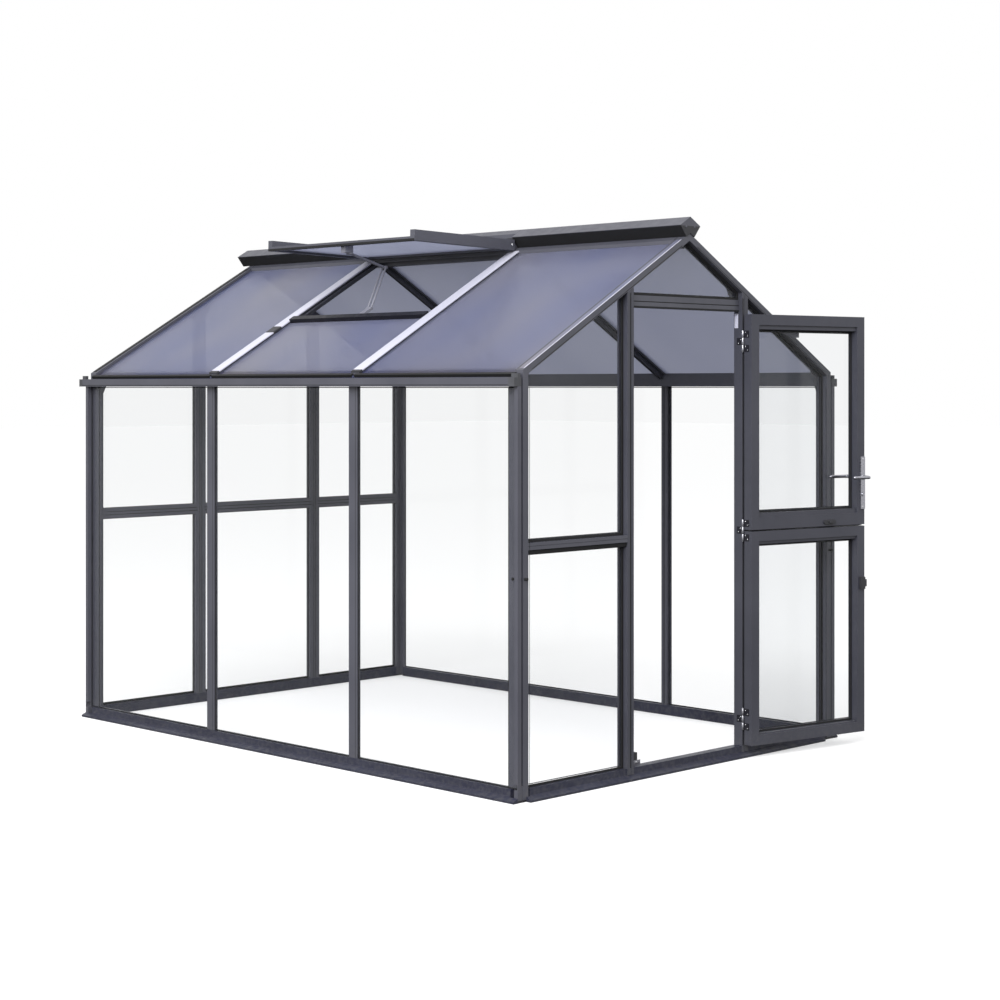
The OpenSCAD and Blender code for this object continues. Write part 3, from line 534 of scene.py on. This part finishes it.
# Painted shade: black lines where the bars' grooves and joints are in shadow.
shade_lines = [shade_line_strip((-0.334, 0.019, z), (0.334, 0.019, z), (0, -1, 0), width)
          for z, width in header_shade_lines]
shade_lines += [shade_line_strip((x, 0, foot_z), (x, 0, 1.86), (0, -1, 0), width)
           for x, width in ((-0.353, 5 * M), (0.3375, 6 * M))]
for side in (-1, 1):
    shade_lines.append(shade_line_strip((side * 0.907, 0, foot_z), (side * 0.907, 0, post_top), (0, -1, 0),
                              2 * M))
    for y, d in ((0, -1), (long, 1)):
        start, end = [(side * x, y, roof_height(x, rafter_shade_depth)) for x in rafter_ends]
        shade_lines.append(shade_line_strip(start, end, (0, d, 0), 2.5 * M))
    shade_lines += [shade_line_strip((side * 0.372, inner_face, z), (side * 0.890, inner_face, z),
                           (0, -1, 0), 3 * M) for z in rail_shade_lines]
    shade_lines += [shade_line_strip((side * x, inner_face, foot_z), (side * x, inner_face, 1.80),
                           (0, -1, 0), 3 * M) for x in back_post_shade_lines]
    for y in (bay, 2 * bay):
        for x, post_y, d, width in ((0.929, y, -1, 5 * M), (0.954, y - 0.014, 1, 2 * M)):
            shade_lines.append(shade_line_strip((side * x, post_y, foot_z), (side * x, post_y, post_top),
                                      (d * side, 0, 0), width))
    shade_lines.append(shade_line_strip((side * 0.986, 0.034, 1.5085), (side * 0.986, 2.759, 1.5085),
                              (side, 0, 0), 2.5 * M))
shade_lines += [shade_line_strip((-door_pane_x, inner_face, z), (door_pane_x, inner_face, z), (0, -1, 0),
                       3 * M) for z in rail_shade_lines]
new_piece("groove_shade_lines", shade_lines, seal_and_shade_rubber, "building")

# ---- Shade strips under the mid rails ----
# A black flap 18 mm deep under each mid rail of the door gable, lapping the pane
# below it, is painted shade: the dark band under the rail.

flap = [(0.0235, 0.909), (0.0060, 0.909), (0.0040, 0.905), (0.0060, 0.893), (0.0085, 0.891),
        (0.0235, 0.891)]
# Painted shade: the dark band under each mid rail.
shade_flaps = [carried([(side * 0.902, 0, 0), (side * 0.370, 0, 0)], (0, 1, 0), (0, 0, 1), flap, False)
         for side in (-1, 1)]
new_piece("mid_rail_shade_flaps", shade_flaps, seal_and_shade_rubber, "building")

# ---- Door seals ----
# The leaves' panes lie in black rubber too, a loop on each face. A soft strip
# under the upper leaf narrows the gap to the lower one.

pin_x, pin_y, open_turn = 0.330, -0.005, np.radians(170)
leaf_left, leaf_right, stile = -0.310, 0.326, 0.041


def hung(points):
    """Points drawn on the closed door, turned about the hinge pin to where the
    open leaf stands."""
    points = np.asarray(points, float)
    x, y = points[:, 0] - pin_x, points[:, 1] - pin_y
    c, s = np.cos(open_turn), np.sin(open_turn)
    return np.stack([pin_x + c * x - s * y, pin_y + s * x + c * y, points[:, 2]], 1)


def hung_parts(parts):
    """Meshes drawn on the closed door, each turned as hung() turns points."""
    return [(hung(p), f) for p, f in parts]


def bar_between(low, high):
    """A straight bar: its rectangle of X and Y carried from the lowest height to
    the highest, with corners cut by a tenth of its thinner side."""
    (x0, y0, z0), (x1, y1, z1) = low, high
    c = 0.1 * min(x1 - x0, y1 - y0)
    outline = [(x0 + c, y0), (x1 - c, y0), (x1, y0 + c), (x1, y1 - c), (x1 - c, y1),
               (x0 + c, y1), (x0, y1 - c), (x0, y0 + c)]
    return carried([(0, 0, z0), (0, 0, z1)], (1, 0, 0), (0, 1, 0), outline, False)


leaf_panes = {"upper_leaf": (0.990, 1.735), "lower_leaf": (0.099, 0.864)}
for leaf, (z0, z1) in leaf_panes.items():
    x0, x1 = leaf_left + stile, leaf_right - stile
    inner = [(x0, 0.007, z0), (x0, 0.007, z1), (x1, 0.007, z1), (x1, 0.007, z0)]
    outer = [(x0 + 0.008, 0.003, z0 + 0.008), (x1 - 0.008, 0.003, z0 + 0.008),
             (x1 - 0.008, 0.003, z1 - 0.008), (x0 + 0.008, 0.003, z1 - 0.008)]
    loops = [seal_loop(inner, (0, 1, 0), 0.0, 6 * M, 0.05 * M, 3.5 * M),
             seal_loop(outer, (0, -1, 0), 0.0, 3 * M, 0.05 * M, 2.2 * M)]
    if leaf == "upper_leaf":
        loops.append(bar_between((leaf_left + 0.004, 0.010, 0.9195),
                                 (leaf_right - 0.004, 0.034, 0.923)))
    new_piece(leaf + "_seals", hung_parts(loops), seal_and_shade_rubber, leaf)

# ---- Sheet edge strips and bar plugs ----
# Black strips along each roof sheet's lower and upper edges are painted shade. Each
# roof bar has a bright cap and a moulded plug at its foot, and one carries a black clip.


def on_slope(points, side):
    """Points given up the slope, along the building and out of the roof, turned
    by the pitch to where they lie on the left (-1) or right (1) slope."""
    points = np.asarray(points, float)
    s, y, n = points[:, 0], points[:, 1], points[:, 2]
    x = -half_width + s * np.cos(pitch) - n * np.sin(pitch)
    z = eave + s * np.sin(pitch) + n * np.cos(pitch)
    return np.stack([-side * x, y, z], 1)


def slope_parts(parts):
    """Meshes drawn in the slope's own frame, laid on both slopes."""
    return [(on_slope(p, side), f) for p, f in parts for side in (-1, 1)]


channel = [(-0.0235, -0.0195), (-0.0085, -0.0195), (-0.0085, -0.0182), (-0.0215, -0.0182),
           (-0.0215, -0.0118), (-0.0060, -0.0118), (-0.0060, -0.0070), (-0.0100, -0.0045),
           (-0.0235, -0.0045)]
sheet_low_runs = ((0.032, 0.912), (0.928, 1.832), (1.848, 2.728))
# Painted shade: black strips where the gap between sheet and gutter is in shadow.
edge_shade_strips = [carried([(0, y0, 0), (0, y1, 0)], (1, 0, 0), (0, 0, 1), channel, False)
               for y0, y1 in sheet_low_runs]
new_piece("sheet_edge_shade_strips", slope_parts(edge_shade_strips), seal_and_shade_rubber, "building")
# Painted shade: black strips where the gap under the ridge cap's skirts is in shadow.
ridge_shade_outline = [(1.036, -0.0117), (1.0562, -0.0117), (1.0562, -0.0002), (1.036, -0.0002)]
ridge_shade_strips = []
for y0, y1, sides in ((0.032, 0.892, (-1, 1)), (0.948, 1.812, (1,)), (1.868, 2.728, (-1, 1))):
    for side in sides:
        strip = carried([(0, y0, 0), (0, y1, 0)], (1, 0, 0), (0, 0, 1), ridge_shade_outline, False)
        ridge_shade_strips.append((on_slope(strip[0], side), strip[1]))
new_piece("ridge_shade_strips", ridge_shade_strips, seal_and_shade_rubber, "building")
plug_outline = [(-0.026, 0.0), (0.026, 0.0), (0.026, -0.011), (0.010, -0.022),
                (-0.010, -0.022), (-0.026, -0.011)]
cap_outline = [(-0.028, -0.005), (-0.028, -0.0015), (-0.0275, -0.0005), (-0.0265, 0.0),
               (0.0265, 0.0), (0.0275, -0.0005), (0.028, -0.0015), (0.028, -0.005)]
cap_low, cap_high = 0.012, 1.0277
plugs, caps = [[carried([(s0, bar_y, 0), (s1, bar_y, 0)], (0, 1, 0), (0, 0, 1), outline, False)
                for bar_y in (bay, 2 * bay)]
               for s0, s1, outline in ((-0.004, cap_low, plug_outline),
                                       (cap_low, cap_high, cap_outline))]
bar_caps = new_piece("bar_caps", slope_parts(caps), cap_metal, "building")
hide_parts("roof_bar_caps")
new_piece("bar_end_plugs", slope_parts(plugs), fitting_plastic, "building")
clip_outline = [(-0.0286, -0.006), (-0.0286, 0.0004), (-0.020, 0.0022), (0.020, 0.0022),
                (0.0286, 0.0004), (0.0286, -0.006)]
clip = carried([(s, 2 * bay, 0) for s in (0.350, 0.352, 0.398, 0.400)], (0, 1, 0), (0, 0, 1),
               clip_outline, False)
new_piece("bar_clip", [(on_slope(clip[0], -1), clip[1])], fitting_plastic, "building")

# ---- Verge highlights ----
# Along the door gable the sheet's tinted film is carried over the rafter to a
# bright strip, a painted highlight on the rafter's outer edge. A black rubber
# strip covers the back gable's rafter.

highlight_trim_outline = [(0.0022, 0.0001), (0.0062, 0.0001), (0.0062, 0.0012), (0.0022, 0.0012)]
film_outline = [(0.0064, 0.0001), (0.0282, 0.0001), (0.0282, 0.0007), (0.0064, 0.0007)]
verge_film = smoke_sheet("verge_film", (0.100, 0.145, 0.330), (0.340, 0.300, 0.285),
                         (0.43, 0.44, 0.50), 0.0)


def up_the_verge(outline):
    """A profile of Y and height out of the slope, carried up both slopes."""
    return slope_parts([carried([(0.010, 0, 0), (1.030, 0, 0)], (0, 1, 0), (0, 0, 1), outline,
                                False)])


# Painted highlight: a thin bright strip on the rafter's outer edge.
new_piece("verge_highlight_trims", up_the_verge(highlight_trim_outline), cap_metal, "building")
new_piece("verge_films", up_the_verge(film_outline), verge_film, "building")
back_verge_outline = [(long - y, n) for y, n in ((0.0282, 0.0001), (0.0282, 0.0012),
                                                 (0.0022, 0.0012), (0.0022, 0.0001))]
new_piece("back_verge_strips", up_the_verge(back_verge_outline), seal_and_shade_rubber, "building")

# ---- Ridge skirts ----
# Thin black strips laid on the ridge cap's skirts, on both sides, are painted
# shade; they stop at the vent on the left.

skirt_top, skirt_foot = np.array([0.0610, 2.1365]), np.array([0.0250, 2.0923])
along = skirt_foot - skirt_top
outward = np.array([-along[1], along[0]]) / np.hypot(*along)
strip_ends = skirt_top + 0.05 * along, skirt_top + 0.98 * along
skirt_outline = [strip_ends[0] + 0.0002 * outward, strip_ends[1] + 0.0002 * outward,
                 strip_ends[1] + 0.0010 * outward, strip_ends[0] + 0.0010 * outward]
cap_front, cap_back, vent_front, vent_back = -0.002, long + 0.048, 0.922, 1.846
# Painted shade: thin black strips over the skirts.
skirt_shade_strips = [carried([(0, y0, 0), (0, y1, 0)], (side, 0, 0), (0, 0, 1), skirt_outline, False)
                for side, y0, y1 in ((1, cap_front, cap_back), (-1, cap_front, vent_front),
                                     (-1, vent_back, cap_back))]
new_piece("ridge_skirt_shade_strips", skirt_shade_strips, seal_and_shade_rubber, "building")

# ---- Sash shade lip ----
# A black lip under the free edge of the raised roof sash is painted shade, the
# dark line under that edge. It is turned with the sash, 1.3 degrees up.

lift, sash_pin_x, sash_pin_z = np.radians(1.3), -0.0575, 2.1247
lip_outline = [(0.5680, -0.0452), (0.5780, -0.0452), (0.5780, -0.0360), (0.5768, -0.0360),
               (0.5768, -0.0448), (0.5680, -0.0448)]
# Painted shade: the dark line under the sash's free edge.
lip_points, lip_faces = carried([(0, 0.911, 0), (0, 1.849, 0)], (1, 0, 0), (0, 0, 1), lip_outline,
                                False)
lip_s, lip_n = lip_points[:, 0].copy(), lip_points[:, 2].copy()
lip_points[:, 0] = sash_pin_x - lip_s * np.cos(lift) + lip_n * np.sin(lift)
lip_points[:, 2] = sash_pin_z + lip_s * np.sin(lift) + lip_n * np.cos(lift)
new_piece("sash_shade_lip", [(lip_points, lip_faces)], seal_and_shade_rubber, "building")

# ---- Screws ----
# Steel screws with a low domed head and a round recess, used all over the
# frame. Each head is turned as one closed solid.


def tube(grid):
    """A closed tube over rings of points: ring i's point j is joined by a quad to
    point j + 1 and to ring i + 1, and the first and last rings are filled."""
    rows, m = grid.shape[:2]
    i, j = (a.ravel() for a in np.meshgrid(np.arange(rows - 1), np.arange(m), indexing="ij"))
    l = (j + 1) % m
    faces = np.stack([i * m + j, i * m + l, (i + 1) * m + l, (i + 1) * m + j], 1).tolist()
    faces += [list(range(m))[::-1], list(range((rows - 1) * m, rows * m))]
    return grid.reshape(-1, 3), faces


def turned(profile, centre, axis, count):
    """A profile of radius and height turned about an axis: point (i, k) is the
    centre, plus height i along the axis, plus radius i at k equal angles."""
    radius, height = np.asarray(profile, float).T[:, :, None, None]
    axis = np.asarray(axis, float) / np.linalg.norm(axis)
    side = np.cross(axis, (0.0, 0.0, 1.0) if abs(axis[2]) < 0.9 else (1.0, 0.0, 0.0))
    side /= np.linalg.norm(side)
    third = np.cross(axis, side)
    angle = np.arange(count) * 2 * np.pi / count
    ring = np.cos(angle)[:, None] * side + np.sin(angle)[:, None] * third
    return tube(np.asarray(centre, float) + height * axis + radius * ring)


def pan_head(centre, axis, r):
    """A low dome that ends in a round recess: the head of a screw of radius r."""
    rise = np.linspace(0, np.pi / 2 * 0.72, 5)
    dome = [(r * np.cos(a), 0.45 * r * np.sin(a) + 0.0002) for a in rise]
    recess = [(0.36 * r, dome[-1][1]), (0.30 * r, dome[-1][1] - 0.22 * r)]
    return turned([(r, -0.0002)] + dome + recess, centre, axis, 20)


screw_steel = drawn_metal("screw_steel", (0.70, 0.70, 0.72), 0.26, (6.0, 6.0, 6.0), 0.00002)

# ---- Hinges ----
# Butt hinges: bright barrels turned on one pin with a button at each end, and
# black-coated plates let in between leaf and jamb, two screws in each.

barrel_half, pin_reach = 14 * M, 43 * M
barrel = [(3.2 * M, -barrel_half), (4.2 * M, -barrel_half), (4.5 * M, 0.6 * M - barrel_half),
          (4.5 * M, barrel_half - 0.6 * M), (4.2 * M, barrel_half), (3.2 * M, barrel_half)]
button = [(2.2 * M, 0.0), (3.1 * M, 0.0), (3.1 * M, 1.2 * M), (2.2 * M, 2.0 * M)]
hinge_heights = {"building": (1.686, 0.920, 0.155), "upper_leaf": (1.715, 1.657, 0.949),
                 "lower_leaf": (0.891, 0.184, 0.126)}
plate_x = {"building": (0.3325, 0.3340, -1), "upper_leaf": (0.3260, 0.3275, 1),
           "lower_leaf": (0.3260, 0.3275, 1)}
hinge_nodes = {"building": "jamb_hinge_parts", "upper_leaf": "upper_leaf_hinges",
               "lower_leaf": "lower_leaf_hinges"}
for body, heights in hinge_heights.items():
    place = hung_parts if body != "building" else list
    x0, x1, face = plate_x[body]
    barrels = [turned(barrel, (pin_x, pin_y, z), (0, 0, 1), 24) for z in heights]
    if body == "building":
        barrels += [turned(button, (pin_x, pin_y, z + d * pin_reach), (0, 0, d), 20)
                    for z in heights for d in (-1, 1)]
    plates = [bar_between((x0, pin_y, z - barrel_half), (x1, 0.028, z + barrel_half))
              for z in heights]
    heads = [pan_head((x1 if face > 0 else x0, y, z + dz), (face, 0, 0), 2.6 * M)
             for z in heights for y, dz in ((0.008, 7 * M), (0.020, -7 * M))]
    barrel_piece = new_piece(body + "_hinge_barrels", place(barrels), hinge_metal, body,
                             True)
    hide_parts(hinge_nodes[body])
    new_piece(body + "_hinge_plates", place(plates), black_and_shade_coat, body)
    new_piece(body + "_hinge_screws", place(heads), screw_steel, body, True)

# ---- Handle and cap screws ----
# Pan-head screws hold the handle plates, the ridge cap's ends and the sash's
# hinge corners; the ridge cap's are coated with it. Hexagon bolts hold the
# gusset plates to the frame.

handle_x, handle_z = -0.296, 1.122
plate_faces = ((0.050, 1), (-0.006, -1))
heads = [pan_head((handle_x, y, z), (0, d, 0), 3.2 * M)
         for y, d in plate_faces for z in (1.198, 0.998)]
new_piece("handle_plate_screws", hung_parts(heads), screw_steel, "upper_leaf", True)
heads = [pan_head((x, y, 2.131), (0, d, 0), 4.0 * M)
         for y, d in ((-0.004, -1), (long + 0.048, 1)) for x in (-0.026, 0.026)]
new_piece("ridge_cap_screws", heads, anthracite_coat, "building", True)
heads = [pan_head((-0.071, y, 2.104), (0, d, 0), 5.0 * M) for y, d in ((0.910, -1), (1.850, 1))]
new_piece("sash_screws", heads, screw_steel, "building", True)
bolt = [(0.005, 0.0), (0.005, 0.003), (0.0043, 0.0038)]
bolt_places = ((0.912, 0.075), (0.872, 0.052), (0.343, 0.070), (0.305, 0.054))
bolts = [turned(bolt, (side * x, y, roof_height(x) - down), (0, d, 0), 6)
         for y, d in ((0.047, 1), (long - 0.047, -1)) for side in (-1, 1)
         for x, down in bolt_places]
new_piece("gusset_bolts", bolts, screw_steel, "building")

# ---- Lever handles ----
# One lever on each face of the upper leaf, bent from round brushed steel bar.
# The two are joined through the leaf by a spindle that is hidden in it.


def bent_bar(points, radii, count=20):
    """A round bar: rings of the given radii across a path, each ring square to
    the path's direction there, its sides kept level with the path's plane."""
    points = np.asarray(points, float)
    ahead = np.gradient(points, axis=0)
    ahead /= np.linalg.norm(ahead, axis=1)[:, None]
    up = np.array([0.0, 0.0, 1.0])
    across = np.cross(ahead, up)
    across /= np.linalg.norm(across, axis=1)[:, None]
    above = np.cross(across, ahead)
    angle = np.arange(count) * 2 * np.pi / count
    grid = (points[:, None] + np.asarray(radii)[:, None, None]
            * (np.cos(angle)[None, :, None] * across[:, None]
               + np.sin(angle)[None, :, None] * above[:, None]))
    return tube(grid)


def lever_path(face, outwards):
    """From the plate straight out, round a quarter circle of 14 mm, then along
    the grip; the bar's radius goes from 7.4 mm at the neck to 7 mm at the grip,
    and falls by the cosine over the rounded tip."""
    reach, bend, grip, neck_r, grip_r = 0.0425, 0.014, 0.090, 0.0074, 0.0070
    turn = np.linspace(0, np.pi / 2, 12)
    neck = np.stack([np.zeros(4), np.linspace(0.0005, reach - bend, 4)], 1)[:-1]
    elbow = np.stack([bend - bend * np.cos(turn), reach - bend + bend * np.sin(turn)], 1)
    run = np.stack([np.linspace(bend, grip, 9)[1:], np.full(8, reach)], 1)
    tip = np.linspace(0, np.pi / 2 * 0.95, 6)[1:]
    nose = np.stack([grip + grip_r * np.sin(tip), np.full(5, reach)], 1)
    flat = np.concatenate([neck, elbow, run, nose])
    radii = np.concatenate([np.full(3, neck_r), np.linspace(neck_r, grip_r, 12),
                            np.full(8, grip_r), grip_r * np.cos(tip)])
    points = np.stack([handle_x + flat[:, 0], face + outwards * flat[:, 1],
                       np.full(len(flat), handle_z)], 1)
    return points, radii


levers = [bent_bar(*lever_path(y, d)) for y, d in plate_faces]
lever_pair = new_piece("lever_pair", hung_parts(levers), lever_metal, "lever", True)
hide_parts("lever_handle")

# ---- Handle plates ----
# Each plate carries a turned collar round the lever and, below it, the round
# end of a key cylinder. Both are pressed into the plate from behind.

collar = [(0.0112, 0.0), (0.0112, 0.003), (0.0100, 0.0045), (0.0080, 0.0048)]
lock = [(0.0085, 0.0), (0.0085, 0.0030), (0.0078, 0.0038), (0.0050, 0.0038), (0.0048, 0.0030)]
rings = [turned(outline, (handle_x, y, z), (0, d, 0), count)
         for outline, z, count in ((collar, handle_z, 32), (lock, 1.050, 28))
         for y, d in plate_faces]
new_piece("plate_collars", hung_parts(rings), lever_metal, "upper_leaf", True)

# ---- Small black fittings ----
# Rubber buffers on the front corner posts keep the open door off the wall. A
# coated stay plate, held by one screw, hangs from the upper leaf's top rail.

buffer = [(0.0055, 0.0), (0.0055, 0.002), (0.0035, 0.004), (0.0035, 0.009), (0.0060, 0.010),
          (0.0060, 0.013), (0.0045, 0.0145)]
buffer_z = 0.806
buffers = [turned(buffer, (side * 0.931, 0.0, buffer_z), (0, -1, 0), 20) for side in (-1, 1)]
buffers += [turned(buffer, (side * 0.948, 0.034, buffer_z), (side, 0, 0), 20)
            for side in (-1, 1)]
new_piece("post_buffers", buffers, seal_and_shade_rubber, "building", True)

stay_outline = [(0.024, 1.7050), (0.062, 1.7035), (0.128, 1.7270), (0.172, 1.7300), (0.178, 1.745),
                (0.172, 1.759), (0.030, 1.759), (0.024, 1.753)]
stay = carried([(0, -0.0002, 0), (0, -0.0045, 0)], (1, 0, 0), (0, 0, 1), stay_outline, False)
new_piece("door_stay", hung_parts([stay]), anthracite_coat, "upper_leaf")
stay_head = pan_head((0.136, -0.0045, 1.7385), (0, -1, 0), 5.5 * M)
new_piece("door_stay_screw", hung_parts([stay_head]), screw_steel, "upper_leaf", True)

# ---- Catch foot ----
# The door catch stands by a bright folded foot. It steps back from the base
# rail's inner face and rises behind the threshold, with one screw.

foot_outline = [(0.0432, 0.0055), (0.0454, 0.0055), (0.0454, 0.0380), (0.0530, 0.0380),
                (0.0530, 0.0585), (0.0508, 0.0585), (0.0508, 0.0402), (0.0432, 0.0402)]
catch_foot = carried([(-0.2905, 0, 0), (-0.2380, 0, 0)], (0, 1, 0), (0, 0, 1), foot_outline,
                     False)
new_piece("catch_foot", [catch_foot], hinge_metal, "building")
foot_screw = pan_head((-0.262, foot_outline[5][0], 0.0505), (0, -1, 0), 3.5 * M)
new_piece("catch_foot_screw", [foot_screw], screw_steel, "building", True)

# ---- Reveal plate ----
# A bright folded plate screwed to the hinge-side reveal just under the header:
# one leg on the jamb, a short one turned out under the header.

plate_outline = [(0.3330, 1.740), (0.3340, 1.740), (0.3340, 1.7975), (0.3180, 1.7975),
                 (0.3180, 1.7965), (0.3330, 1.7965)]
reveal_plate = carried([(0, 0.022, 0), (0, 0.040, 0)], (1, 0, 0), (0, 0, 1), plate_outline, False)
new_piece("reveal_plate", [reveal_plate], cap_metal, "building")
